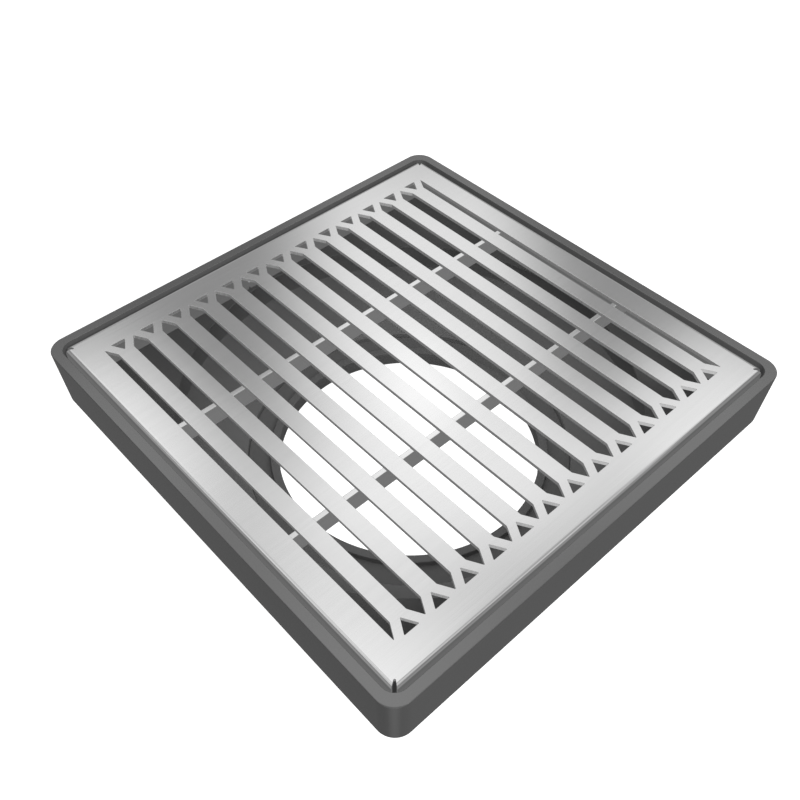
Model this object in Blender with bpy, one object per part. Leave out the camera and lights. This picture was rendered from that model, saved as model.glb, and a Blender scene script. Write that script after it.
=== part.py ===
"""Square floor drain top: moulded plastic tray with a round sump, an outlet
ring with its gasket, and a lift-out stainless grate on two cross ribs.

Metres, +Z up. The origin is the centre of the lowest face, and the tray stands
on it. X and Y run along the sides of the square; the grate's slots run along Y
and its two cross ribs along X.
"""
import math

import bmesh
import bpy
from mathutils import Vector

MM = 0.001
GAP = 0.3 * MM                    # clearance between pieces that touch

# ---- overall -------------------------------------------------------------
WIDTH = 200.6 * MM                # outer side of the rim, square
HEIGHT = 59.2 * MM                # rim top above the lowest face
SEGMENTS = 96                     # sides of the turned shapes
CORNER_STEPS = 7                  # steps in a rounded corner of the tray

# ---- tray ----------------------------------------------------------------
RIM_HALF = WIDTH / 2
RIM_CORNER_R = 8.3 * MM
RIM_FILLET = 0.5 * MM             # rounding of the rim's top edges
SKIRT_DEPTH = 25.2 * MM           # rim top to the skirt's lower edge
SKIRT_HALF = 99.2 * MM            # the skirt draws in towards its lower edge
WELL_HALF = 96.3 * MM             # square well that takes the grate
WELL_CORNER_R = 5.0 * MM
LEDGE_DEPTH = 19.3 * MM           # rim top to the ledge that carries the grate
LEDGE_THICK = 3.0 * MM
SUMP_R = 92.3 * MM                # round sump below the ledge
SUMP_WALL_DEPTH = 31.2 * MM       # where the sump wall turns into the funnel
WALL = 3.1 * MM
FUNNEL_R = 68.0 * MM              # foot of the funnel
FUNNEL_DEPTH = 52.1 * MM
SEAT_DEPTH = 56.4 * MM            # seat that carries the outlet ring
SEAT_HOLE_R = 58.8 * MM
SEAT_OUTER_R = 71.6 * MM
GROOVE_IN_R = 62.5 * MM           # gasket groove in the seat
GROOVE_OUT_R = 66.5 * MM
GROOVE_DEEP = 1.5 * MM
POCKET_HALF = 95.2 * MM           # hollow corners under the ledge
POCKET_R = 95.8 * MM
POCKET_CORNER_R = 4.0 * MM
GUSSET = 2.6 * MM                 # rib that splits each hollow corner

# ---- outlet ring and gasket ----------------------------------------------
RING_BORE_R = 54.9 * MM           # clear bore of the outlet
RING_NECK_R = 58.5 * MM
RING_LIP_DEPTH = 51.5 * MM        # rim top to the raised lip
RING_TOP_DEPTH = 53.9 * MM
RING_FLANGE_R = 67.7 * MM
RING_FLANGE_THICK = 2.2 * MM
RING_FOOT_DEPTH = 58.4 * MM       # rim top to the neck's lower end

# ---- grate sheet ---------------------------------------------------------
GRATE_HALF = 94.9 * MM            # outer face of the folded flanges
GRATE_TOP_DEPTH = 0.15 * MM       # top of the sheet below the rim top
SHEET = 1.5 * MM
BEND_R = 2.0 * MM                 # outer radius of the folds
FLANGE_DEPTH = 19.0 * MM          # rim top to the flanges' lower edge
BARS = 13
PITCH = 12.9 * MM
SLOT_HALF = 3.03 * MM
SLOT_SHOULDER = 77.5 * MM         # where a slot starts to narrow
SLOT_TIP = 82.9 * MM
TRI_TIP = 78.4 * MM               # triangle between the legs of a forked bar
TRI_BASE = 83.65 * MM
TRI_HALF = 3.05 * MM
RELIEF_AT = 92.15 * MM            # centre of the corner relief's round end, both ways
RELIEF_HALF = 0.4 * MM            # half width of the relief at its round end
RELIEF_MOUTH_HALF = 1.0 * MM      # and where it leaves the flanges
TAB_HALF = 9.4 * MM               # spring tab punched in each flange
TAB_TOP_DEPTH = 10.1 * MM
TAB_FOOT_DEPTH = 15.4 * MM
TAB_SLIT = 0.8 * MM
NICK_HALF = 0.5 * MM              # nick in the lower edge below each slit
NICK_HIGH = 1.2 * MM

# ---- cross ribs ----------------------------------------------------------
RIB_Y = 32.3 * MM
RIB_THICK = 2.2 * MM
RIB_HIGH = 8.5 * MM
RIB_HALF_LENGTH = GRATE_HALF - SHEET - GAP


def level(depth):
    """Height of a face given by its depth below the rim top."""
    return HEIGHT - depth


def clear_scene():
    for ob in list(bpy.data.objects):
        bpy.data.objects.remove(ob, do_unlink=True)


def material(name, colour, roughness, metallic):
    mat = bpy.data.materials.new(name)
    mat.use_nodes = True
    bsdf = mat.node_tree.nodes["Principled BSDF"]
    bsdf.inputs["Base Color"].default_value = (*colour, 1.0)
    bsdf.inputs["Roughness"].default_value = roughness
    bsdf.inputs["Metallic"].default_value = metallic
    return mat


def new_object(name, bm, mat=None, angle=30.0):
    bmesh.ops.recalc_face_normals(bm, faces=bm.faces)
    mesh = bpy.data.meshes.new(name)
    bm.to_mesh(mesh)
    bm.free()
    mesh.shade_smooth()
    mesh.set_sharp_from_angle(angle=math.radians(angle))
    ob = bpy.data.objects.new(name, mesh)
    bpy.context.scene.collection.objects.link(ob)
    if mat is not None:
        mesh.materials.append(mat)
    return ob


def cut_with(target, cutter, operation="DIFFERENCE"):
    cutter.hide_render = True
    cutter.display_type = "WIRE"
    mod = target.modifiers.new(cutter.name, "BOOLEAN")
    mod.operation = operation
    mod.solver = "EXACT"
    mod.object = cutter


def rounded_square(half, radius, z, steps=CORNER_STEPS):
    """Ring of points round a square with rounded corners, anticlockwise."""
    points = []
    for quarter in range(4):
        cx, cy = ((1, 1), (-1, 1), (-1, -1), (1, -1))[quarter]
        for i in range(steps + 1):
            a = math.radians(90.0 * (quarter + i / steps))
            points.append((cx * (half - radius) + radius * math.cos(a),
                           cy * (half - radius) + radius * math.sin(a), z))
    return points


def loft(rings):
    """Closed solid through rings of equal length, the first and last capped."""
    bm = bmesh.new()
    rows = [[bm.verts.new(p) for p in ring] for ring in rings]
    count = len(rows[0])
    for low, high in zip(rows, rows[1:]):
        for i in range(count):
            j = (i + 1) % count
            bm.faces.new((low[i], low[j], high[j], high[i]))
    bm.faces.new(list(reversed(rows[0])))
    bm.faces.new(rows[-1])
    return bm


def turned(profile, segments=SEGMENTS):
    """Solid or ring turned round the Z axis from a closed (radius, z) profile."""
    bm = bmesh.new()
    rows = []
    for k in range(segments):
        a = 2 * math.pi * k / segments
        rows.append([None if r < 1e-9 else bm.verts.new((r * math.cos(a), r * math.sin(a), z))
                     for r, z in profile])
    axis = {i: bm.verts.new((0.0, 0.0, z)) for i, (r, z) in enumerate(profile) if r < 1e-9}
    n = len(profile)
    for k in range(segments):
        here, after = rows[k], rows[(k + 1) % segments]
        for i in range(n):
            j = (i + 1) % n
            if i in axis and j in axis:
                continue
            if i in axis:
                bm.faces.new((axis[i], after[j], here[j]))
            elif j in axis:
                bm.faces.new((here[i], after[i], axis[j]))
            else:
                bm.faces.new((here[i], after[i], after[j], here[j]))
    return bm


def prism(bm, outline, z_low, z_high):
    """Adds a closed prism over a flat outline given anticlockwise."""
    low = [bm.verts.new((x, y, z_low)) for x, y in outline]
    high = [bm.verts.new((x, y, z_high)) for x, y in outline]
    n = len(outline)
    for i in range(n):
        j = (i + 1) % n
        bm.faces.new((low[i], low[j], high[j], high[i]))
    bm.faces.new(list(reversed(low)))
    bm.faces.new(high)


def box(bm, x0, x1, y0, y1, z0, z1):
    prism(bm, [(x0, y0), (x1, y0), (x1, y1), (x0, y1)], z0, z1)


# ---------------------------------------------------------------------------
# tray: rim, drafted skirt, square well with its ledge, round sump, funnel and
# the seat of the outlet ring, all one moulding
# ---------------------------------------------------------------------------
def make_tray(mat):
    f = RIM_FILLET
    rings = [rounded_square(SKIRT_HALF, RIM_CORNER_R - 1.1 * MM, level(SKIRT_DEPTH)),
             rounded_square(RIM_HALF, RIM_CORNER_R, level(f))]
    for i in range(1, 4):
        a = math.radians(30.0 * i)
        inset = f * (1 - math.cos(a))
        rings.append(rounded_square(RIM_HALF - inset, RIM_CORNER_R - inset,
                                    level(f * (1 - math.sin(a)))))
    tray = new_object("tray_body", loft(rings), mat)

    # sump and funnel outside, joined to the skirt
    slope = math.hypot(SUMP_R - FUNNEL_R, FUNNEL_DEPTH - SUMP_WALL_DEPTH)
    drop = WALL * (SUMP_R - FUNNEL_R) / slope
    outer = [(0.0, level(22.0 * MM)),
             (SUMP_R + WALL, level(22.0 * MM)),
             (SUMP_R + WALL, level(SUMP_WALL_DEPTH + drop * 0.45)),
             (SEAT_OUTER_R, level(FUNNEL_DEPTH + drop * 0.9)),
             (SEAT_OUTER_R, 0.0),
             (0.0, 0.0)]
    cut_with(tray, new_object("sump_outside", turned(list(reversed(outer)))), "UNION")

    # square well for the grate, its top edge eased
    well = [rounded_square(WELL_HALF, WELL_CORNER_R, level(LEDGE_DEPTH)),
            rounded_square(WELL_HALF, WELL_CORNER_R, level(0.35 * MM)),
            rounded_square(WELL_HALF + 0.35 * MM, WELL_CORNER_R + 0.35 * MM, level(0.0)),
            rounded_square(WELL_HALF + 2.35 * MM, WELL_CORNER_R + 2.35 * MM, level(-2.0 * MM))]
    cut_with(tray, new_object("well_inside", loft(well)))

    # sump, funnel, counterbore, gasket groove and the hole below
    inner = [(0.0, level(15.0 * MM)),
             (SUMP_R, level(15.0 * MM)),
             (SUMP_R, level(SUMP_WALL_DEPTH)),
             (FUNNEL_R, level(FUNNEL_DEPTH)),
             (FUNNEL_R, level(SEAT_DEPTH)),
             (GROOVE_OUT_R, level(SEAT_DEPTH)),
             (GROOVE_OUT_R, level(SEAT_DEPTH + GROOVE_DEEP)),
             (GROOVE_IN_R, level(SEAT_DEPTH + GROOVE_DEEP)),
             (GROOVE_IN_R, level(SEAT_DEPTH)),
             (SEAT_HOLE_R, level(SEAT_DEPTH)),
             (SEAT_HOLE_R, -2.0 * MM),
             (0.0, -2.0 * MM)]
    cut_with(tray, new_object("sump_inside", turned(list(reversed(inner)))))

    # hollow corners under the ledge, each split by a gusset on the diagonal
    bm = bmesh.new()
    h, r, c = POCKET_HALF, POCKET_R, POCKET_CORNER_R
    start = math.acos(h / r)
    middle = math.radians(45.0)
    side = GUSSET / 2
    edge = middle - math.asin(side / r)
    for quarter in range(4):
        for mirror in (False, True):
            outline = []
            for i in range(9):                       # along the sump wall
                a = start + (edge - start) * i / 8
                outline.append((r * math.cos(a), r * math.sin(a)))
            # out along the gusset to the rounded corner
            corner = h - c
            reach = corner * math.sqrt(2) + math.sqrt(c ** 2 - side ** 2)
            d = (math.cos(middle), math.sin(middle))
            n = (math.sin(middle), -math.cos(middle))
            tip = (reach * d[0] + side * n[0], reach * d[1] + side * n[1])
            outline.append(tip)
            turn = math.atan2(tip[1] - corner, tip[0] - corner)
            for i in range(1, 5):
                a = turn * (1 - i / 4)
                outline.append((corner + c * math.cos(a), corner + c * math.sin(a)))
            outline = list(reversed(outline))
            if mirror:
                outline = [(y, x) for x, y in reversed(outline)]
            t = quarter * math.pi / 2
            outline = [(x * math.cos(t) - y * math.sin(t), x * math.sin(t) + y * math.cos(t))
                       for x, y in outline]
            prism(bm, outline, level(40.0 * MM), level(LEDGE_DEPTH + LEDGE_THICK))
    cut_with(tray, new_object("hollow_corners", bm))
    return tray


# ---------------------------------------------------------------------------
# outlet ring: neck with a raised lip and a flange that lies in the tray's seat
# ---------------------------------------------------------------------------
def make_outlet_ring(mat):
    flange_low = level(RING_TOP_DEPTH + RING_FLANGE_THICK)
    ease = 0.4 * MM
    foot = level(RING_FOOT_DEPTH)
    profile = [(RING_BORE_R, foot), (RING_NECK_R, foot),
               (RING_NECK_R, flange_low), (RING_FLANGE_R, flange_low),
               (RING_FLANGE_R, level(RING_TOP_DEPTH)), (RING_NECK_R, level(RING_TOP_DEPTH)),
               (RING_NECK_R, level(RING_LIP_DEPTH + ease)),
               (RING_NECK_R - ease, level(RING_LIP_DEPTH)),
               (RING_BORE_R + ease, level(RING_LIP_DEPTH)),
               (RING_BORE_R, level(RING_LIP_DEPTH + ease))]
    return new_object("outlet_ring", turned(profile), mat)


def make_gasket(mat):
    low = level(SEAT_DEPTH + GROOVE_DEEP) + GAP
    high = level(SEAT_DEPTH)
    r0, r1 = GROOVE_IN_R + GAP, GROOVE_OUT_R - GAP
    e = 0.35 * MM
    profile = [(r0, low), (r1, low), (r1, high - e), (r1 - e, high), (r0 + e, high), (r0, high - e)]
    return new_object("outlet_gasket", turned(profile, 64), mat)


# ---------------------------------------------------------------------------
# grate sheet: one folded sheet, its slots running along Y
# ---------------------------------------------------------------------------
def square_ring(half, z):
    return [(half, half, z), (-half, half, z), (-half, -half, z), (half, -half, z)]


def slot_outlines():
    """Full slots between the bars, half slots outside them, and the triangles."""
    shapes = []
    first = -(BARS - 1) / 2 * PITCH
    w, s, t = SLOT_HALF, SLOT_SHOULDER, SLOT_TIP
    for i in range(BARS - 1):
        x = first + (i + 0.5) * PITCH
        shapes.append([(x - w, -s), (x, -t), (x + w, -s), (x + w, s), (x, t), (x - w, s)])
    for side in (-1, 1):
        x = side * BARS / 2 * PITCH
        inner = x - side * w
        outline = [(x, -t), (x, t), (inner, s), (inner, -s)]
        shapes.append(outline if side > 0 else list(reversed(outline)))
    for i in range(BARS):
        x = first + i * PITCH
        shapes.append([(x - TRI_HALF, TRI_BASE), (x, TRI_TIP), (x + TRI_HALF, TRI_BASE)])
        shapes.append([(x + TRI_HALF, -TRI_BASE), (x, -TRI_TIP), (x - TRI_HALF, -TRI_BASE)])
    return shapes


def make_grate_plate(mat):
    top = level(GRATE_TOP_DEPTH)
    foot = level(FLANGE_DEPTH)
    flat = GRATE_HALF - BEND_R
    inner_r = BEND_R - SHEET
    rings = [square_ring(GRATE_HALF, foot)]
    for i in range(6):
        a = math.radians(18.0 * i)
        rings.append(square_ring(flat + BEND_R * math.cos(a), top - BEND_R + BEND_R * math.sin(a)))
    # the sheet's inside, from the fold down to the foot
    inside = []
    for i in range(3):
        a = math.radians(90.0 - 45.0 * i)
        inside.append(square_ring(flat + inner_r * math.cos(a), top - BEND_R + inner_r * math.sin(a)))
    inside.append(square_ring(GRATE_HALF - SHEET, foot))

    bm = bmesh.new()
    outer_rows = [[bm.verts.new(p) for p in ring] for ring in rings]
    inner_rows = [[bm.verts.new(p) for p in ring] for ring in inside]
    for rows in (outer_rows, inner_rows):
        for a, b in zip(rows, rows[1:]):
            for i in range(4):
                j = (i + 1) % 4
                bm.faces.new((a[i], a[j], b[j], b[i]))
    bm.faces.new(outer_rows[-1])
    bm.faces.new(inner_rows[0])
    for i in range(4):
        j = (i + 1) % 4
        bm.faces.new((inner_rows[-1][i], inner_rows[-1][j], outer_rows[0][j], outer_rows[0][i]))
    plate = new_object("grate_plate", bm, mat)

    # slots and triangles
    bm = bmesh.new()
    for outline in slot_outlines():
        prism(bm, outline, top - 3 * MM, top + 3 * MM)
    cut_with(plate, new_object("slot_punch", bm))

    # corner reliefs: a round-ended slit on each diagonal, wider outwards, full height
    bm = bmesh.new()
    for quarter in range(4):
        t = math.radians(45.0 + 90.0 * quarter)
        ax, ay = math.cos(t), math.sin(t)
        px, py = -ay, ax
        at = RELIEF_AT * math.sqrt(2)
        outline = []
        for i in range(7):
            a = math.radians(90.0 + 30.0 * i)
            u = at + RELIEF_HALF * math.cos(a)
            v = RELIEF_HALF * math.sin(a)
            outline.append((u * ax + v * px, u * ay + v * py))
        far = (GRATE_HALF + 0.5 * MM) * math.sqrt(2)
        for v in (-RELIEF_MOUTH_HALF, RELIEF_MOUTH_HALF):
            outline.append((far * ax + v * px, far * ay + v * py))
        prism(bm, outline, foot - 2 * MM, top + 2 * MM)
    cut_with(plate, new_object("corner_punch", bm))

    # spring tab in each flange: a slit over its top and down both sides
    bm = bmesh.new()
    s = TAB_SLIT / 2
    z_top, z_foot = level(TAB_TOP_DEPTH), level(TAB_FOOT_DEPTH)
    d0, d1 = GRATE_HALF - SHEET - 1 * MM, GRATE_HALF + 1 * MM
    e = TAB_HALF
    outline = [(-e - s, z_foot), (-e + s, z_foot), (-e + s, z_top - s), (e - s, z_top - s),
               (e - s, z_foot), (e + s, z_foot), (e + s, z_top + s), (-e - s, z_top + s)]
    nicks = [[(side * e - NICK_HALF, foot - 1 * MM), (side * e + NICK_HALF, foot - 1 * MM),
              (side * e + NICK_HALF, foot + NICK_HIGH), (side * e - NICK_HALF, foot + NICK_HIGH)]
             for side in (-1, 1)]
    for quarter in range(4):
        t = quarter * math.pi / 2
        for shape in [outline] + nicks:
            near = [bm.verts.new((d0 * math.cos(t) - u * math.sin(t),
                                  d0 * math.sin(t) + u * math.cos(t), z)) for u, z in shape]
            far = [bm.verts.new((d1 * math.cos(t) - u * math.sin(t),
                                 d1 * math.sin(t) + u * math.cos(t), z)) for u, z in shape]
            n = len(shape)
            for i in range(n):
                j = (i + 1) % n
                bm.faces.new((near[i], near[j], far[j], far[i]))
            bm.faces.new(list(reversed(near)))
            bm.faces.new(far)
    cut_with(plate, new_object("tab_punch", bm))
    return plate


def make_rib(name, y, mat):
    """Flat bar on edge under the sheet, between the two side flanges."""
    top = level(GRATE_TOP_DEPTH) - SHEET - GAP
    bm = bmesh.new()
    box(bm, -RIB_HALF_LENGTH, RIB_HALF_LENGTH, -RIB_THICK / 2, RIB_THICK / 2, -RIB_HIGH, 0.0)
    edges = [e for e in bm.edges if abs(e.verts[0].co.x - e.verts[1].co.x) > MM]
    bmesh.ops.bevel(bm, geom=edges, offset=0.2 * MM, segments=1, affect="EDGES")
    rib = new_object(name, bm, mat)
    rib.location = (0.0, y, top)
    return rib


def main():
    clear_scene()
    plastic = material("tray_plastic", (0.070, 0.072, 0.075), 0.55, 0.0)
    ring_plastic = material("ring_plastic", (0.055, 0.057, 0.060), 0.50, 0.0)
    rubber = material("gasket_rubber", (0.015, 0.015, 0.016), 0.80, 0.0)
    sheet_steel = material("brushed_sheet", (0.62, 0.62, 0.61), 0.32, 1.0)
    rib_steel = material("rib_steel", (0.55, 0.55, 0.54), 0.40, 1.0)

    make_tray(plastic)
    make_outlet_ring(ring_plastic)
    make_gasket(rubber)

    # the grate lifts straight out; its handle point is the middle of the sheet
    lift = bpy.data.objects.new("grate_lift", None)
    lift.location = (0.0, 0.0, 0.0)
    bpy.context.scene.collection.objects.link(lift)
    pieces = [make_grate_plate(sheet_steel),
              make_rib("cross_rib_far", RIB_Y, rib_steel),
              make_rib("cross_rib_near", -RIB_Y, rib_steel)]
    for ob in pieces:
        ob.parent = lift


main()
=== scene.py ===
"""Looks of the square floor drain.

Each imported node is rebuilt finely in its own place: the moulded tray with its
eased edges, the outlet ring, the gasket, the folded and punched steel sheet
and the two cross ribs. Materials are procedural. A pale floor, soft light and
the camera come last.
"""
import math

import bmesh
import bpy
import numpy as np
from mathutils import Matrix, Vector


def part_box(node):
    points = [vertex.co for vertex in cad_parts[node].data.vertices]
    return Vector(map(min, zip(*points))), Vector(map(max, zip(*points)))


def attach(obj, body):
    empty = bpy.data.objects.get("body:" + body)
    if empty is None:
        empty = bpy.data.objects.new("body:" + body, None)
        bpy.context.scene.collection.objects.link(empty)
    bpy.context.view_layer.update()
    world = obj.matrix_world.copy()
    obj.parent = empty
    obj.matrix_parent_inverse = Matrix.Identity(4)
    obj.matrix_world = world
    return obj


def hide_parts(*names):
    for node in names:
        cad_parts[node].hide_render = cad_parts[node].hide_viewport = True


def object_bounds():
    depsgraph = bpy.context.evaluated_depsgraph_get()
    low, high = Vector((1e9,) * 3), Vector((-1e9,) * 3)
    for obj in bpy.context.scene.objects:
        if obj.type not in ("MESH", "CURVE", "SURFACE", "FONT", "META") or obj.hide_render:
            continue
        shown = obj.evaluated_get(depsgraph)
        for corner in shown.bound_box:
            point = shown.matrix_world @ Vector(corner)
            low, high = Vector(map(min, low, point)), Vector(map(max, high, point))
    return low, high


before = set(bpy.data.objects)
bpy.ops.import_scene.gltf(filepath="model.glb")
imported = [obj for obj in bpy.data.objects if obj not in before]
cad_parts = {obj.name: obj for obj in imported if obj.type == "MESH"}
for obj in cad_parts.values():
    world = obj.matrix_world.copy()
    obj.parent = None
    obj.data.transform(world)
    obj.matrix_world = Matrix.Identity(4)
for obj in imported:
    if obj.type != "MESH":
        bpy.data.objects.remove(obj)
CAD_LOW, CAD_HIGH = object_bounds()

MM = 0.001
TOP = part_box("tray_body")[1].z            # rim top
RIM_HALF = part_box("tray_body")[1].x
GRATE_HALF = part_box("grate_plate")[1].x
GRATE_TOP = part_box("grate_plate")[1].z
GRATE_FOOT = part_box("grate_plate")[0].z


def level(depth):
    """Height of a face given by its depth below the rim top, in millimetres."""
    return TOP - depth * MM


# ---------------------------------------------------------------------------
# mesh helpers
# ---------------------------------------------------------------------------
def arc(cx, cy, r, a0, a1, steps):
    """Points of an arc, degrees, both ends included."""
    out = []
    for i in range(steps + 1):
        a = math.radians(a0 + (a1 - a0) * i / steps)
        out.append((cx + r * math.cos(a), cy + r * math.sin(a)))
    return out


def eased(points, radii, steps=5, closed=True):
    """A polygon or line with each corner replaced by an arc of its own radius."""
    out = []
    n = len(points)
    for i in range(n):
        p = Vector(points[i])
        r = radii[i] if hasattr(radii, "__len__") else radii
        if r <= 0 or (not closed and i in (0, n - 1)):
            out.append((p.x, p.y))
            continue
        a = (Vector(points[i - 1]) - p).normalized()
        b = (Vector(points[(i + 1) % n]) - p).normalized()
        half = a.angle(b) / 2
        reach = r / math.tan(half)
        centre = p + (a + b).normalized() * (r / math.sin(half))
        start, end = p + a * reach - centre, p + b * reach - centre
        a0 = math.atan2(start.y, start.x)
        turn = math.atan2(end.y, end.x) - a0
        turn = (turn + math.pi) % (2 * math.pi) - math.pi
        for k in range(steps + 1):
            t = a0 + turn * k / steps
            out.append((centre.x + r * math.cos(t), centre.y + r * math.sin(t)))
    return out


def grown(points, radii, by, steps=5):
    """A convex outline, anticlockwise, eased at its corners and grown by a distance."""
    n = len(points)
    out = []
    for i in range(n):
        p = Vector(points[i])
        r = radii[i]
        a = (Vector(points[i - 1]) - p).normalized()
        b = (Vector(points[(i + 1) % n]) - p).normalized()
        half = a.angle(b) / 2
        centre = p + (a + b).normalized() * (r / math.sin(half))
        start, end = -Vector((-a.y, a.x)), Vector((-b.y, b.x))
        # outward normals of the two sides that meet here
        start = Vector((a.y, -a.x)) * -1.0
        end = Vector((b.y, -b.x))
        a0 = math.atan2(start.y, start.x)
        turn = math.atan2(end.y, end.x) - a0
        turn = (turn + math.pi) % (2 * math.pi) - math.pi
        for k in range(steps + 1):
            t = a0 + turn * k / steps
            out.append((centre.x + (r + by) * math.cos(t), centre.y + (r + by) * math.sin(t)))
    return out


def rounded_square(half, radius, z, steps=14):
    out = []
    for quarter in range(4):
        cx, cy = ((1, 1), (-1, 1), (-1, -1), (1, -1))[quarter]
        for x, y in arc(cx * (half - radius), cy * (half - radius), radius,
                        90 * quarter, 90 * quarter + 90, steps):
            out.append((x, y, z))
    return out


def loft(rings, bm=None, caps=True):
    bm = bm or bmesh.new()
    rows = [[bm.verts.new(p) for p in ring] for ring in rings]
    n = len(rows[0])
    for low, high in zip(rows, rows[1:]):
        for i in range(n):
            j = (i + 1) % n
            bm.faces.new((low[i], low[j], high[j], high[i]))
    if caps:
        bm.faces.new(list(reversed(rows[0])))
        bm.faces.new(rows[-1])
    return bm


def turned(profile, segments=256):
    """Ring or solid turned from a closed (radius, z) profile."""
    bm = bmesh.new()
    rows = []
    for k in range(segments):
        a = 2 * math.pi * k / segments
        rows.append([None if r < 1e-9 else bm.verts.new((r * math.cos(a), r * math.sin(a), z))
                     for r, z in profile])
    axis = {i: bm.verts.new((0.0, 0.0, z)) for i, (r, z) in enumerate(profile) if r < 1e-9}
    n = len(profile)
    for k in range(segments):
        here, after = rows[k], rows[(k + 1) % segments]
        for i in range(n):
            j = (i + 1) % n
            if i in axis and j in axis:
                continue
            if i in axis:
                bm.faces.new((axis[i], after[j], here[j]))
            elif j in axis:
                bm.faces.new((here[i], after[i], axis[j]))
            else:
                bm.faces.new((here[i], after[i], after[j], here[j]))
    return bm


def as_object(name, bm):
    bmesh.ops.recalc_face_normals(bm, faces=bm.faces)
    mesh = bpy.data.meshes.new(name)
    bm.to_mesh(mesh)
    bm.free()
    ob = bpy.data.objects.new(name, mesh)
    bpy.context.scene.collection.objects.link(ob)
    return ob


def settle(ob, cutters):
    """Runs a list of (cutter, operation) on ob and keeps the plain result."""
    for cutter, operation in cutters:
        mod = ob.modifiers.new(cutter.name, "BOOLEAN")
        mod.operation = operation
        mod.solver = "EXACT"
        mod.object = cutter
    bpy.context.view_layer.update()
    dg = bpy.context.evaluated_depsgraph_get()
    mesh = bpy.data.meshes.new_from_object(ob.evaluated_get(dg))
    ob.modifiers.clear()
    ob.data = mesh
    for cutter, _ in cutters:
        bpy.data.objects.remove(cutter, do_unlink=True)
    bm = bmesh.new()
    bm.from_mesh(mesh)
    bmesh.ops.remove_doubles(bm, verts=bm.verts, dist=2e-7)
    bmesh.ops.dissolve_degenerate(bm, edges=bm.edges, dist=1e-7)
    bm.to_mesh(mesh)
    bm.free()
    mesh.update()
    return ob


def smooth(ob, angle=32.0):
    """Smooth shading that keeps flat faces flat beside their eased edges."""
    ob.data.shade_smooth()
    ob.data.set_sharp_from_angle(angle=math.radians(angle))
    mod = ob.modifiers.new("weighted", "WEIGHTED_NORMAL")
    mod.mode = "FACE_AREA"
    mod.weight = 60
    mod.keep_sharp = True
    bpy.context.view_layer.update()
    dg = bpy.context.evaluated_depsgraph_get()
    mesh = bpy.data.meshes.new_from_object(ob.evaluated_get(dg))
    ob.modifiers.clear()
    ob.data = mesh
    return ob


# ---------------------------------------------------------------------------
# node helpers
# ---------------------------------------------------------------------------
class Tree:
    """Short calls for wiring a material or the world."""

    def __init__(self, name=None, owner=None):
        self.mat = owner or bpy.data.materials.new(name)
        self.mat.use_nodes = True
        self.nt = self.mat.node_tree
        self.bsdf = self.nt.nodes.get("Principled BSDF")

    def node(self, kind, **values):
        n = self.nt.nodes.new(kind)
        for k, v in values.items():
            setattr(n, k, v)
        return n

    def link(self, a, b):
        self.nt.links.new(a, b)
        return a

    def set(self, socket, value):
        if hasattr(value, "links"):
            self.nt.links.new(value, socket)
        else:
            socket.default_value = value

    def math(self, op, a, b=0.0, c=0.0, clamp=False):
        n = self.node("ShaderNodeMath", operation=op, use_clamp=clamp)
        for socket, v in zip(n.inputs, (a, b, c)):
            self.set(socket, v)
        return n.outputs[0]

    def span(self, value, lo, hi, to_lo, to_hi):
        n = self.node("ShaderNodeMapRange")
        for socket, v in zip(n.inputs, (value, lo, hi, to_lo, to_hi)):
            self.set(socket, v)
        return n.outputs[0]

    def coords(self, scale, source="Object", uv=None):
        if uv:
            c = self.node("ShaderNodeUVMap", uv_map=uv).outputs[0]
        else:
            c = self.node("ShaderNodeTexCoord").outputs[source]
        m = self.node("ShaderNodeMapping")
        self.link(c, m.inputs["Vector"])
        m.inputs["Scale"].default_value = scale
        return m.outputs[0]

    def noise(self, vector, scale=1.0, detail=2.0, rough=0.5):
        n = self.node("ShaderNodeTexNoise")
        self.link(vector, n.inputs["Vector"])
        n.inputs["Scale"].default_value = scale
        n.inputs["Detail"].default_value = detail
        n.inputs["Roughness"].default_value = rough
        return n.outputs[0]

    def mix_colour(self, factor, a, b):
        n = self.node("ShaderNodeMix", data_type="RGBA")
        self.set(n.inputs[0], factor)
        self.set(n.inputs[6], a)
        self.set(n.inputs[7], b)
        return n.outputs[2]

    def bump(self, height, distance, strength=1.0, normal=None):
        n = self.node("ShaderNodeBump")
        n.inputs["Strength"].default_value = strength
        n.inputs["Distance"].default_value = distance
        self.set(n.inputs["Height"], height)
        if normal is not None:
            self.link(normal, n.inputs["Normal"])
        return n.outputs[0]


def grey(v, warm=0.0):
    return (v * (1 + warm), v, v * (1 - warm), 1.0)


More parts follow.
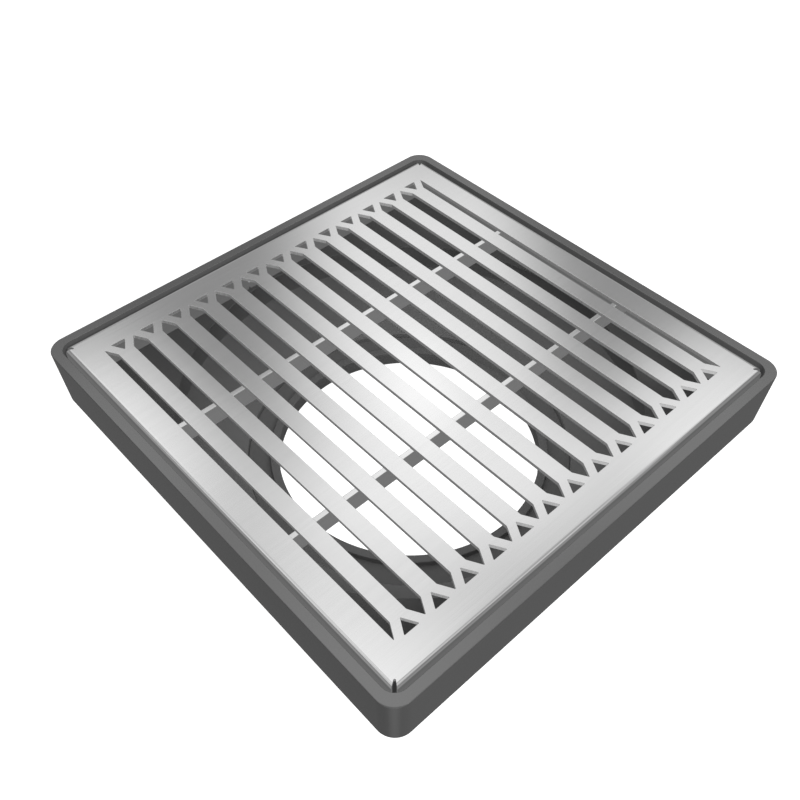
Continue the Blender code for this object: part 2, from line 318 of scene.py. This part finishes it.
def plastic(name, shade, roughness, grain=2300.0, depth=7e-6, wear=0.35, gloss=0.75, ior=1.5):
    """Moulded plastic with a fine spark-eroded grain and slightly rubbed edges."""
    t = Tree(name)
    at = t.coords((1, 1, 1))
    cloud = t.noise(at, 9.0, 3.0, 0.55)
    fine = t.noise(at, grain, 3.0, 0.6)
    flow = t.noise(t.coords((35, 35, 4)), 1.0, 2.0, 0.5)
    # rubbed edges: where a rounded normal leaves the true one
    bevel = t.node("ShaderNodeBevel", samples=6)
    bevel.inputs["Radius"].default_value = 0.45 * MM
    normal = t.node("ShaderNodeNewGeometry").outputs["Normal"]
    dot = t.node("ShaderNodeVectorMath", operation="DOT_PRODUCT")
    t.link(bevel.outputs[0], dot.inputs[0])
    t.link(normal, dot.inputs[1])
    edge = t.span(dot.outputs["Value"], 0.995, 0.90, 0.0, 1.0)
    patchy = t.span(t.noise(at, 160.0, 3.0, 0.6), 0.35, 0.7, 0.15, 1.0)
    rub = t.math("MULTIPLY", t.math("MULTIPLY", edge, patchy), wear, clamp=True)
    tone = t.math("MULTIPLY", t.span(cloud, 0.3, 0.7, 0.955, 1.045), t.span(fine, 0.3, 0.7, 0.93, 1.07))
    tone = t.math("MULTIPLY", tone, t.span(flow, 0.3, 0.7, 0.985, 1.015))
    base = t.mix_colour(rub, grey(shade), grey(shade * 1.3))
    scaled = t.node("ShaderNodeVectorMath", operation="SCALE")
    t.link(base, scaled.inputs[0])
    t.link(tone, scaled.inputs["Scale"])
    t.link(scaled.outputs[0], t.bsdf.inputs["Base Color"])
    rough = t.math("ADD", t.span(cloud, 0.3, 0.7, roughness - 0.03, roughness + 0.03),
                   t.span(fine, 0.3, 0.7, -0.03, 0.03))
    rough = t.math("SUBTRACT", rough, t.math("MULTIPLY", rub, 0.06))
    t.link(rough, t.bsdf.inputs["Roughness"])
    t.bsdf.inputs["IOR"].default_value = ior
    t.bsdf.inputs["Specular IOR Level"].default_value = gloss
    t.link(t.bump(fine, depth), t.bsdf.inputs["Normal"])
    return t.mat


def rubber(name):
    t = Tree(name)
    at = t.coords((1, 1, 1))
    fine = t.noise(at, 1500.0, 3.0, 0.6)
    dust = t.span(t.noise(at, 120.0, 4.0, 0.6), 0.5, 0.75, 0.0, 0.35)
    t.link(t.mix_colour(dust, grey(0.018), grey(0.055, 0.02)), t.bsdf.inputs["Base Color"])
    t.link(t.span(fine, 0.3, 0.7, 0.72, 0.86), t.bsdf.inputs["Roughness"])
    t.link(t.bump(fine, 1e-5), t.bsdf.inputs["Normal"])
    return t.mat


def brushed(name, shade, roughness, uv, aniso=0.45, streak=0.05, warm=0.0):
    """Line-brushed stainless. The lines run along the first UV axis, in metres."""
    t = Tree(name)
    lines = t.noise(t.coords((22.0, 2600.0, 1.0), uv=uv), 1.0, 4.0, 0.65)
    broad = t.noise(t.coords((9.0, 420.0, 1.0), uv=uv), 1.0, 3.0, 0.6)
    cloud = t.noise(t.coords((14.0, 30.0, 1.0), uv=uv), 1.0, 2.0, 0.5)
    scratch = t.noise(t.coords((60.0, 5200.0, 1.0), uv=uv), 1.0, 1.0, 0.5)
    tone = t.math("ADD", t.span(lines, 0.25, 0.75, -streak, streak),
                  t.span(broad, 0.25, 0.75, -streak * 0.6, streak * 0.6))
    tone = t.math("ADD", tone, t.span(cloud, 0.25, 0.75, -0.006, 0.006))
    deep = t.math("GREATER_THAN", scratch, 0.73)
    tone = t.math("SUBTRACT", tone, t.math("MULTIPLY", deep, 0.02))
    scaled = t.node("ShaderNodeVectorMath", operation="SCALE")
    scaled.inputs[0].default_value = (shade * (1 + warm), shade, shade * (1 - warm))
    t.link(t.math("ADD", tone, 1.0), scaled.inputs["Scale"])
    t.link(scaled.outputs[0], t.bsdf.inputs["Base Color"])
    t.bsdf.inputs["Metallic"].default_value = 1.0
    rough = t.math("ADD", t.span(lines, 0.25, 0.75, roughness - 0.02, roughness + 0.02),
                   t.span(cloud, 0.25, 0.75, -0.01, 0.01))
    t.link(rough, t.bsdf.inputs["Roughness"])
    t.bsdf.inputs["Anisotropic"].default_value = aniso
    tangent = t.node("ShaderNodeTangent", direction_type="UV_MAP", uv_map=uv)
    t.bsdf.inputs["Anisotropic Rotation"].default_value = 0.25
    t.link(tangent.outputs[0], t.bsdf.inputs["Tangent"])
    height = t.math("ADD", lines, t.math("MULTIPLY", scratch, 0.4))
    t.link(t.bump(height, 1.2e-6), t.bsdf.inputs["Normal"])
    return t.mat


def sheared(name, shade, roughness):
    """Punched edge of the sheet: duller, with fine upright tear marks."""
    t = Tree(name)
    marks = t.noise(t.coords((2600.0, 2600.0, 260.0)), 1.0, 3.0, 0.6)
    tone = t.span(marks, 0.3, 0.7, 0.88, 1.1)
    scaled = t.node("ShaderNodeVectorMath", operation="SCALE")
    scaled.inputs[0].default_value = (shade, shade, shade)
    t.link(tone, scaled.inputs["Scale"])
    t.link(scaled.outputs[0], t.bsdf.inputs["Base Color"])
    t.bsdf.inputs["Metallic"].default_value = 1.0
    t.link(t.span(marks, 0.3, 0.7, roughness - 0.06, roughness + 0.08), t.bsdf.inputs["Roughness"])
    t.link(t.bump(marks, 3e-6), t.bsdf.inputs["Normal"])
    return t.mat


# ---------------------------------------------------------------------------
# tray
# ---------------------------------------------------------------------------
LEDGE = level(19.3)
WELL_HALF, WELL_CORNER = 96.3 * MM, 5.0 * MM
SKIRT_FOOT, SKIRT_HALF = level(25.1), 99.2 * MM
SUMP_R, SUMP_FOOT = 92.3 * MM, level(31.2)
FUNNEL_R, FUNNEL_FOOT = 68.0 * MM, level(52.1)
SEAT, SEAT_HOLE_R, SEAT_OUTER_R = level(56.4), 58.8 * MM, 71.6 * MM
WALL = 3.1 * MM


def make_tray():
    f, e = 0.35 * MM, 0.5 * MM
    rings = []
    for x, z in arc(SKIRT_HALF - e, SKIRT_FOOT + e, e, -90, 0, 5):
        rings.append((x, 7.4 * MM, z))
    for x, z in arc(RIM_HALF - f, TOP - f, f, 0, 90, 7):
        rings.append((x, 7.5 * MM + (x - RIM_HALF), z))
    tray = as_object("tray_moulding", loft([rounded_square(h, r, z, 18) for h, r, z in rings]))

    slope = math.hypot(SUMP_R - FUNNEL_R, SUMP_FOOT - FUNNEL_FOOT)
    drop = WALL * (SUMP_R - FUNNEL_R) / slope
    out = [(0.0, level(22.0)), (SUMP_R + WALL, level(22.0)),
           (SUMP_R + WALL, SUMP_FOOT - drop * 0.45),
           (SEAT_OUTER_R, FUNNEL_FOOT - drop * 0.9),
           (SEAT_OUTER_R, 0.0), (0.0, 0.0)]
    out = eased(out, [0, 0, 1.6 * MM, 1.0 * MM, 0.5 * MM, 0], 6)
    outside = as_object("sump_outside", turned(list(reversed(out)), 192))

    q, i = 0.2 * MM, 0.6 * MM
    rings = [(WELL_HALF - i, WELL_CORNER - i, LEDGE)]
    for x, z in arc(WELL_HALF - i, LEDGE + i, i, -90, 0, 5)[1:]:
        rings.append((x, WELL_CORNER + (x - WELL_HALF), z))
    for x, z in arc(WELL_HALF + q, TOP - q, q, 180, 90, 6):
        rings.append((x, WELL_CORNER + (x - WELL_HALF), z))
    rings.append((WELL_HALF + q, WELL_CORNER + q, TOP + 2 * MM))
    well = as_object("well_inside", loft([rounded_square(h, r, z, 12) for h, r, z in rings]))

    lip = 0.5 * MM
    inner = [(0.0, LEDGE + 4 * MM), (SUMP_R + lip, LEDGE + 4 * MM)]
    inner += [(x, z) for x, z in arc(SUMP_R + lip, LEDGE - lip, lip, 90, 180, 6)]
    below = [(SUMP_R, LEDGE - 2 * MM), (SUMP_R, SUMP_FOOT), (FUNNEL_R, FUNNEL_FOOT),
             (FUNNEL_R, SEAT), (66.5 * MM, SEAT), (66.5 * MM, SEAT - 1.5 * MM),
             (62.5 * MM, SEAT - 1.5 * MM), (62.5 * MM, SEAT), (SEAT_HOLE_R, SEAT),
             (SEAT_HOLE_R, -2 * MM), (0.0, -2 * MM)]
    radii = [0, 0.9, 0.25, 0.3, 0.15, 0.2, 0.2, 0.15, 0.3, 0, 0]
    inner += eased(below, [r * MM for r in radii], 4)
    sump = as_object("sump_inside", turned(list(reversed(inner)), 256))

    # hollow corners under the ledge, either side of a gusset on each diagonal
    h, r, c, side = 95.2 * MM, 95.8 * MM, 4.0 * MM, 1.3 * MM
    start, middle = math.acos(h / r), math.radians(45.0)
    edge = middle - math.asin(side / r)
    bm = bmesh.new()
    for quarter in range(4):
        for mirror in (False, True):
            outline = [(r * math.cos(start + (edge - start) * k / 20),
                        r * math.sin(start + (edge - start) * k / 20)) for k in range(21)]
            corner = h - c
            reach = corner * math.sqrt(2) + math.sqrt(c ** 2 - side ** 2)
            d, n = (math.cos(middle), math.sin(middle)), (math.sin(middle), -math.cos(middle))
            tip = (reach * d[0] + side * n[0], reach * d[1] + side * n[1])
            outline.append(tip)
            turn = math.atan2(tip[1] - corner, tip[0] - corner)
            for k in range(1, 9):
                a = turn * (1 - k / 8)
                outline.append((corner + c * math.cos(a), corner + c * math.sin(a)))
            outline = list(reversed(outline))
            if mirror:
                outline = [(y, x) for x, y in reversed(outline)]
            t = quarter * math.pi / 2
            outline = [(x * math.cos(t) - y * math.sin(t), x * math.sin(t) + y * math.cos(t))
                       for x, y in outline]
            loft([[(x, y, level(40.0)) for x, y in outline],
                  [(x, y, level(22.3)) for x, y in outline]], bm)
    hollows = as_object("hollow_corners", bm)
    settle(tray, [(outside, "UNION"), (well, "DIFFERENCE"), (sump, "DIFFERENCE"),
                  (hollows, "DIFFERENCE")])
    # the ledge, sump and funnel take the matt inside finish; the well's wall takes a paler copy,
    # painted light on a wall in shade, and the sump's upright wall a darker copy, painted shade
    for poly in tray.data.polygons:
        c, n = poly.center, poly.normal
        reach = math.hypot(c.x, c.y)
        inward = -(c.x * n.x + c.y * n.y) / max(reach, 1e-9)
        on_ledge = abs(c.z - LEDGE) < 0.8 * MM and n.z > 0.3 and max(abs(c.x), abs(c.y)) < WELL_HALF
        in_sump = c.z < LEDGE and reach < SUMP_R + 1 * MM and (n.z > 0.05 or inward > 0.5)
        # the sump's upright wall: a darker copy of the plastic, painted shade
        if in_sump and abs(n.z) < 0.3 and c.z > SUMP_FOOT:
            poly.material_index = 3
        elif on_ledge or in_sump:
            poly.material_index = 1
        # the well's wall: a paler copy of the plastic, painted light on a wall that stands in shade
        elif c.z > LEDGE and abs(n.z) < 0.3 and max(abs(c.x), abs(c.y)) < WELL_HALF + 0.05 * MM:
            poly.material_index = 2
    return tray


def make_ring():
    low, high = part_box("outlet_ring")
    bore, neck, flange = 54.9 * MM, 58.5 * MM, high.x
    top, under = level(53.9), level(56.1)
    profile = [(bore, low.z), (neck, low.z), (neck, under), (flange, under), (flange, top),
               (neck, top), (neck, high.z), (bore, high.z)]
    radii = [0.3, 0.4, 0.3, 0.25, 0.25, 0.35, 0.35, 0.45]
    return as_object("outlet_ring_fine", turned(eased(profile, [r * MM for r in radii], 5)))


def make_gasket():
    low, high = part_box("outlet_gasket")
    r0, r1 = 62.8 * MM, high.x
    profile = [(r0, low.z), (r1, low.z), (r1, high.z), (r0, high.z)]
    radii = [0.25, 0.25, 0.5, 0.5]
    return as_object("gasket_fine", turned(eased(profile, [r * MM for r in radii], 5), 192))


# ---------------------------------------------------------------------------
# grate sheet
# ---------------------------------------------------------------------------
SHEET, BEND = 1.5 * MM, 2.0 * MM
BARS, PITCH, SLOT_HALF = 13, 12.9 * MM, 3.03 * MM
SHOULDER, TIP = 77.5 * MM, 82.9 * MM
TRI_TIP, TRI_BASE, TRI_HALF = 78.4 * MM, 83.65 * MM, 3.05 * MM
FLAT = GRATE_HALF - BEND


def square_ring(half, z):
    return [(half, half, z), (-half, half, z), (-half, -half, z), (half, -half, z)]


def punch(bm, points, radii, steps=5):
    """Cutter for one hole: straight wall, with the sheet's top edge rolled over."""
    roll = 0.10 * MM
    rings = [[(x, y, GRATE_TOP - 4 * MM) for x, y in grown(points, radii, 0.0, steps)]]
    for k in range(5):
        a = math.radians(90.0 * k / 4)
        by, down = roll * (1 - math.cos(a)), roll * (1 - math.sin(a))
        rings.append([(x, y, GRATE_TOP - down) for x, y in grown(points, radii, by, steps)])
    rings.append([(x, y, GRATE_TOP + 1 * MM) for x, y in grown(points, radii, roll, steps)])
    loft(rings, bm)


def make_sheet():
    foot, ease = GRATE_FOOT, 0.2 * MM
    inner = BEND - SHEET
    rings = [square_ring(x, z) for x, z in arc(GRATE_HALF - ease, foot + ease, ease, -90, 0, 3)]
    rings += [square_ring(x, z) for x, z in arc(FLAT, GRATE_TOP - BEND, BEND, 0, 90, 12)]
    inside = [square_ring(x, z) for x, z in arc(FLAT, GRATE_TOP - BEND, inner, 90, 0, 6)]
    inside += [square_ring(x, z) for x, z in
               arc(GRATE_HALF - SHEET + ease, foot + ease, ease, 180, 270, 3)]
    bm = bmesh.new()
    outer_rows = [[bm.verts.new(p) for p in ring] for ring in rings]
    inner_rows = [[bm.verts.new(p) for p in ring] for ring in inside]
    for rows in (outer_rows, inner_rows):
        for a, b in zip(rows, rows[1:]):
            for i in range(4):
                j = (i + 1) % 4
                bm.faces.new((a[i], a[j], b[j], b[i]))
    bm.faces.new(outer_rows[-1])
    bm.faces.new(inner_rows[0])
    for i in range(4):
        j = (i + 1) % 4
        bm.faces.new((inner_rows[-1][i], inner_rows[-1][j], outer_rows[0][j], outer_rows[0][i]))
    sheet = as_object("grate_sheet", bm)

    # slots and triangles
    bm = bmesh.new()
    first = -(BARS - 1) / 2 * PITCH
    w, s, t = SLOT_HALF, SHOULDER, TIP
    for i in range(BARS - 1):
        x = first + (i + 0.5) * PITCH
        points = [(x - w, -s), (x, -t), (x + w, -s), (x + w, s), (x, t), (x - w, s)]
        punch(bm, points, [v * MM for v in (0.9, 0.16, 0.9, 0.9, 0.16, 0.9)])
    for side in (-1, 1):
        x = side * BARS / 2 * PITCH
        near = x - side * w
        points = [(x, -t), (x, t), (near, s), (near, -s)]
        radii = [v * MM for v in (0.12, 0.12, 0.9, 0.9)]
        if side < 0:
            points, radii = list(reversed(points)), list(reversed(radii))
        punch(bm, points, radii)
    for i in range(BARS):
        x = first + i * PITCH
        r = [v * MM for v in (0.16, 0.16, 0.16)]
        punch(bm, [(x - TRI_HALF, TRI_BASE), (x, TRI_TIP), (x + TRI_HALF, TRI_BASE)], r)
        punch(bm, [(x + TRI_HALF, -TRI_BASE), (x, -TRI_TIP), (x - TRI_HALF, -TRI_BASE)], r)
    slots = as_object("slot_punch", bm)

    # corner reliefs
    bm = bmesh.new()
    for quarter in range(4):
        a = math.radians(45.0 + 90.0 * quarter)
        ax, ay = math.cos(a), math.sin(a)
        at, wide, mouth = 92.15 * MM * math.sqrt(2), 0.4 * MM, 1.4 * MM
        far = (GRATE_HALF + 0.5 * MM) * math.sqrt(2)
        outline = [(at + wide * math.cos(b), wide * math.sin(b))
                   for b in (math.radians(90.0 + 180.0 * k / 12) for k in range(13))]
        outline += [(far, -mouth), (far, mouth)]
        outline = [(u * ax - v * ay, u * ay + v * ax) for u, v in outline]
        loft([[(x, y, foot - 2 * MM) for x, y in outline],
              [(x, y, GRATE_TOP + 2 * MM) for x, y in outline]], bm)
    corners = as_object("corner_punch", bm)

    # spring tab in each flange, and the nicks below it
    bm = bmesh.new()
    e, g = 9.4 * MM, 0.4 * MM
    z_top, z_foot = level(10.1), level(15.4)
    shape = [(-e - g, z_foot), (-e + g, z_foot), (-e + g, z_top - g), (e - g, z_top - g),
             (e - g, z_foot), (e + g, z_foot), (e + g, z_top + g), (-e - g, z_top + g)]
    shape = eased(shape, [v * MM for v in (0.36, 0.36, 0.5, 0.5, 0.36, 0.36, 1.1, 1.1)], 5)
    nicks = []
    for side in (-1, 1):
        x = side * e
        nick = [(x - 0.7 * MM, foot - 1 * MM), (x + 0.7 * MM, foot - 1 * MM),
                (x + 0.5 * MM, foot + 1.2 * MM), (x - 0.5 * MM, foot + 1.2 * MM)]
        nicks.append(eased(nick, [0, 0, 0.45 * MM, 0.45 * MM], 5))
    d0, d1 = GRATE_HALF - SHEET - 1 * MM, GRATE_HALF + 1 * MM
    for quarter in range(4):
        t = quarter * math.pi / 2
        for outline in [shape] + nicks:
            rows = [[(d * math.cos(t) - u * math.sin(t), d * math.sin(t) + u * math.cos(t), z)
                     for u, z in outline] for d in (d0, d1)]
            loft(rows, bm)
    tabs = as_object("tab_punch", bm)
    settle(sheet, [(slots, "DIFFERENCE"), (corners, "DIFFERENCE"), (tabs, "DIFFERENCE")])

    # sheet coordinates: the folded sheet laid flat, in metres
    mesh = sheet.data
    uv = mesh.uv_layers.new(name="sheet")
    turn_length = BEND * math.pi / 2
    for poly in mesh.polygons:
        c = poly.center
        axis = 0 if abs(c.x) > abs(c.y) else 1
        folded = max(abs(c.x), abs(c.y)) > FLAT - 0.01 * MM
        for li in poly.loop_indices:
            p = mesh.vertices[mesh.loops[li].vertex_index].co
            flat = [p.x, p.y]
            if folded:
                out = abs(p[axis]) - FLAT
                down = GRATE_TOP - BEND - p.z
                if down >= 0:
                    run = turn_length + down
                else:
                    run = BEND * math.atan2(max(out, 0.0), -down) if out > 0 else out
                flat[axis] = math.copysign(FLAT + run, p[axis])
            uv.data[li].uv = flat
    # punched walls take the sheared edge's material, paler than the sheet: painted light on the slot
    # walls
    for poly in mesh.polygons:
        c, n = poly.center, poly.normal
        inside_top = max(abs(c.x), abs(c.y)) < FLAT - 3 * MM
        if inside_top and abs(n.z) < 0.25:
            poly.material_index = 1
    return sheet


def make_rib(node):
    low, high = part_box(node)
    top = GRATE_TOP - SHEET                     # the rib meets the sheet's underside
    r = 0.25 * MM
    outline = eased([(low.y, low.z), (high.y, low.z), (high.y, top), (low.y, top)], r, 4)
    bm = bmesh.new()
    rings = []
    x0, x1 = low.x, high.x
    n = 90
    for k in range(n + 1):
        x = x0 + (x1 - x0) * k / n
        rings.append([(x, y, z) for y, z in outline])
    loft(rings, bm)
    rib = as_object(node + "_fine", bm)
    mesh = rib.data
    uv = mesh.uv_layers.new(name="sheet")
    for poly in mesh.polygons:
        # the upright faces keep the first material, a paler steel with painted light; the top takes the
        # second
        if poly.normal.z > 0.5:
            poly.material_index = 1             # the strip's cut edge, seen from above
        for li in poly.loop_indices:
            p = mesh.vertices[mesh.loops[li].vertex_index].co
            across = p.z if abs(poly.normal.y) > 0.7 else p.y
            uv.data[li].uv = (p.x, across)
    return rib


# ---------------------------------------------------------------------------
# pieces
# ---------------------------------------------------------------------------
tray_plastic = plastic("tray_plastic_grained", 0.048, 0.19, depth=4e-6, gloss=1.0, ior=1.62)
inside_plastic = plastic("tray_inside_matt", 0.080, 0.55, grain=1700.0, gloss=0.30)
# darker copy of the inside plastic for the sump's upright wall: painted shade
sump_wall_painted_shade = plastic("tray_sump_wall_painted_shade", 0.061, 0.55, grain=1700.0, gloss=0.30)
# paler copy of the tray plastic for the well's wall: painted light
well_wall_painted_light = plastic("tray_well_wall_painted_light", 0.082, 0.40, depth=4e-6, gloss=0.55)
ring_plastic = plastic("ring_plastic_smooth", 0.058, 0.50, grain=3200.0, depth=3e-6, gloss=0.35)
gasket_rubber = rubber("gasket_rubber_matt")
sheet_steel = brushed("sheet_steel_brushed", 0.66, 0.13, "sheet", aniso=0.3, streak=0.034)
# the punched walls: rougher, with tear marks, and paler than the sheet, which is painted light
sheared_edge_painted_light = sheared("sheet_steel_sheared_painted_light", 0.90, 0.32)
# the rib's upright faces: rougher and a paler copy of the steel than its top, which is painted light
rib_faces_painted_light = brushed("rib_steel_faces_painted_light", 0.92, 0.34, "sheet", aniso=0.3, streak=0.04)
rib_edge = brushed("rib_steel_edge", 0.66, 0.14, "sheet", aniso=0.3, streak=0.02)


def finish_piece(ob, mats, body, node, angle=32.0):
    index = [poly.material_index for poly in ob.data.polygons]
    ob.data.materials.clear()                  # this also sets every face to the first one
    for m in mats:
        ob.data.materials.append(m)
    ob.data.polygons.foreach_set("material_index", index)
    smooth(ob, angle)
    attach(ob, body)
    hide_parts(node)
    ob.visible_glossy = False      # gloss shows the room only, so slots and gap stay open
    return ob


finish_piece(make_tray(), [tray_plastic, inside_plastic, well_wall_painted_light, sump_wall_painted_shade], "tray", "tray_body")
finish_piece(make_ring(), [ring_plastic], "tray", "outlet_ring")
finish_piece(make_gasket(), [gasket_rubber], "tray", "outlet_gasket")
finish_piece(make_sheet(), [sheet_steel, sheared_edge_painted_light], "grate", "grate_plate")
for node in ("cross_rib_far", "cross_rib_near"):
    finish_piece(make_rib(node), [rib_faces_painted_light, rib_edge], "grate", node)


# ---------------------------------------------------------------------------
# floor, light and camera
# ---------------------------------------------------------------------------
def make_floor():
    bm = bmesh.new()
    bmesh.ops.create_grid(bm, x_segments=1, y_segments=1, size=6.0)
    floor = as_object("floor", bm)
    floor.location.z = CAD_LOW.z - 0.05 * MM
    t = Tree("floor_pale")
    grain = t.noise(t.coords((1, 1, 1)), 900.0, 3.0, 0.6)
    t.link(t.mix_colour(grain, grey(0.27), grey(0.30)), t.bsdf.inputs["Base Color"])
    t.bsdf.inputs["Roughness"].default_value = 0.9
    t.bsdf.inputs["Specular IOR Level"].default_value = 0.0
    t.bsdf.inputs["Emission Color"].default_value = (1, 1, 1, 1)
    t.bsdf.inputs["Emission Strength"].default_value = 1.0
    floor.data.materials.append(t.mat)
    floor.visible_diffuse = False            # the white floor doesn't light the piece
    floor.visible_glossy = False


def area(name, centre, target, size, radiance, shape="RECTANGLE"):
    """Softbox of the given size (metres), radiance and aim."""
    data = bpy.data.lights.new(name, "AREA")
    data.shape = shape
    data.size, data.size_y = size
    a = size[0] * size[1] * (math.pi / 4 if shape == "ELLIPSE" else 1.0)
    data.energy = radiance * math.pi * a
    ob = bpy.data.objects.new(name, data)
    ob.location = centre
    ob.rotation_euler = (Vector(target) - Vector(centre)).to_track_quat("-Z", "Y").to_euler()
    bpy.context.scene.collection.objects.link(ob)
    ob.visible_camera = False
    return ob


def make_world():
    """Dim round room with soft white boxes overhead, the same in each quarter.

    A direction is placed by where it meets a ceiling 251.7 mm above the plate,
    in millimetres from a point under the boxes' middle.
    """
    world = bpy.data.worlds.new("studio")
    bpy.context.scene.world = world
    t = Tree(owner=world)
    split = t.node("ShaderNodeSeparateXYZ")
    t.link(t.node("ShaderNodeTexCoord").outputs["Generated"], split.inputs[0])
    z = t.math("MAXIMUM", split.outputs[2], 0.02)

    def along(axis, shift):
        ratio = t.math("ABSOLUTE", t.math("DIVIDE", split.outputs[axis], z))
        return t.math("SUBTRACT", t.math("MULTIPLY", ratio, 251.7), shift)

    x, y = along(0, 172.0), along(1, 181.0)

    def edge(value, at, width):
        """0 below the edge, 1 above it, soft over the width."""
        n = t.node("ShaderNodeMapRange", interpolation_type="SMOOTHSTEP")
        for socket, v in zip(n.inputs, (value, at - width / 2, at + width / 2, 0.0, 1.0)):
            t.set(socket, v)
        return n.outputs[0]

    def box(*sides):
        made = None
        for value, at, width, keep_above in sides:
            e = edge(value, at, width)
            if not keep_above:
                e = t.math("SUBTRACT", 1.0, e)
            made = e if made is None else t.math("MULTIPLY", made, e)
        return made

    def turned_axis(a, b, shift):
        return t.math("SUBTRACT", t.math("ADD", t.math("MULTIPLY", x, a),
                                         t.math("MULTIPLY", y, b)), shift)

    a = turned_axis(0.655, 0.755, 0.0)
    c = turned_axis(0.755, -0.655, 8.3)
    def lobe(u, u_at, u_wide, v, v_at, v_wide):
        """Round soft spot, 1 in its middle."""
        du = t.math("POWER", t.math("DIVIDE", t.math("SUBTRACT", u, u_at), u_wide), 2.0)
        dv = t.math("POWER", t.math("DIVIDE", t.math("SUBTRACT", v, v_at), v_wide), 2.0)
        return t.math("EXPONENT", t.math("MULTIPLY", t.math("ADD", du, dv), -1.0))

    middle = box((a, -87, 53, True), (a, 142, 117, False),
                 (c, -50, 50, True), (c, 46, 48, False))
    left = box((x, -76, 50, False), (y, -6, 75, True), (y, 90, 67, False))
    right = box((y, -65, 39, False), (x, 7, 73, True), (x, 104, 61, False))
    middle = t.math("MULTIPLY", middle, t.span(split.outputs[1], -0.60, -0.35, 0.62, 1.0))
    glow = lobe(a, -14, 25, c, -6, 15)
    near = lobe(x, -110, 60, y, -95, 60)
    side = lobe(x, -170, 60, y, -35, 60)
    front = lobe(x, -45, 60, y, -165, 45)
    level_ = BASE
    for part, gain in ((middle, 0.78), (left, 0.91), (right, 0.86), (glow, 0.46), (near, 0.97),
                       (side, 0.25), (front, 0.25)):
        level_ = t.math("ADD", level_, t.math("MULTIPLY", part, gain))
    low = t.math("SUBTRACT", 1.0, edge(split.outputs[2], 0.50, 0.16))
    level_ = t.math("ADD", level_, t.math("MULTIPLY", low, 0.15))
    level_ = t.math("MULTIPLY", level_, t.span(split.outputs[0], -0.15, 0.15, 0.80, 1.0))
    level_ = t.math("MULTIPLY", level_, t.span(split.outputs[1], -0.15, 0.15, 0.72, 1.0))
    up = edge(split.outputs[2], 0.0, 0.16)
    # below the horizon the room is dim, and a little lighter on the two open sides
    open_side = t.math("MULTIPLY", t.span(split.outputs[0], -0.35, -0.05, 2.4, 0.0),
                       t.span(split.outputs[1], -0.35, -0.05, 1.0, 0.0))
    below = t.math("MULTIPLY", t.math("ADD", open_side, 1.0), BELOW)
    level_ = t.math("ADD", t.math("MULTIPLY", level_, up),
                    t.math("MULTIPLY", t.math("SUBTRACT", 1.0, up), below))
    # the room itself is plain white where it is looked at directly
    seen = t.node("ShaderNodeLightPath").outputs["Is Camera Ray"]
    level_ = t.math("ADD", t.math("MULTIPLY", level_, t.math("SUBTRACT", 1.0, seen)), seen)
    t.link(level_, t.nt.nodes["Background"].inputs["Strength"])
    t.nt.nodes["Background"].inputs["Color"].default_value = (1, 1, 1, 1)
    world.cycles.sampling_method = "MANUAL"
    world.cycles.sample_map_resolution = 512


BASE, BELOW, KEY = 0.37, 0.19, 14.0
make_floor()
make_world()
key = area("key", (-0.15, -0.44, 0.46), (0, 0, 0.05), (0.3, 0.3), KEY)
fill = area("fill", (0, 0, level(12.5)), (0, 0, 0), (0.14, 0.14), 1.38, "ELLIPSE")
key.visible_glossy = fill.visible_glossy = False


def make_camera():
    """Standing corner-on to the tray, looking down at it."""
    az, el, roll = map(math.radians, (-42.6574, 47.7720, 0.0689))
    back = Vector((math.sin(az) * math.cos(el), -math.cos(az) * math.cos(el), math.sin(el)))
    right = Vector((math.cos(az), math.sin(az), 0.0))
    up = back.cross(right)
    right, up = (right * math.cos(roll) + up * math.sin(roll),
                 up * math.cos(roll) - right * math.sin(roll))
    at = Vector((0, 0, TOP)) + 200 * MM * (-0.0194525 * right - 0.0793487 * up + 1.7704456 * back)
    data = bpy.data.cameras.new("camera")
    data.sensor_width = 36.0
    data.sensor_fit = "HORIZONTAL"
    data.lens = 926.4524 / 800.0 * 36.0
    data.clip_start, data.clip_end = 0.01, 50.0
    cam = bpy.data.objects.new("camera", data)
    m = Matrix((right, up, back)).transposed().to_4x4()
    m.translation = at
    cam.matrix_world = m
    bpy.context.scene.collection.objects.link(cam)
    bpy.context.scene.camera = cam


make_camera()
scene = bpy.context.scene
scene.view_settings.view_transform = "Standard"
scene.view_settings.look = "None"
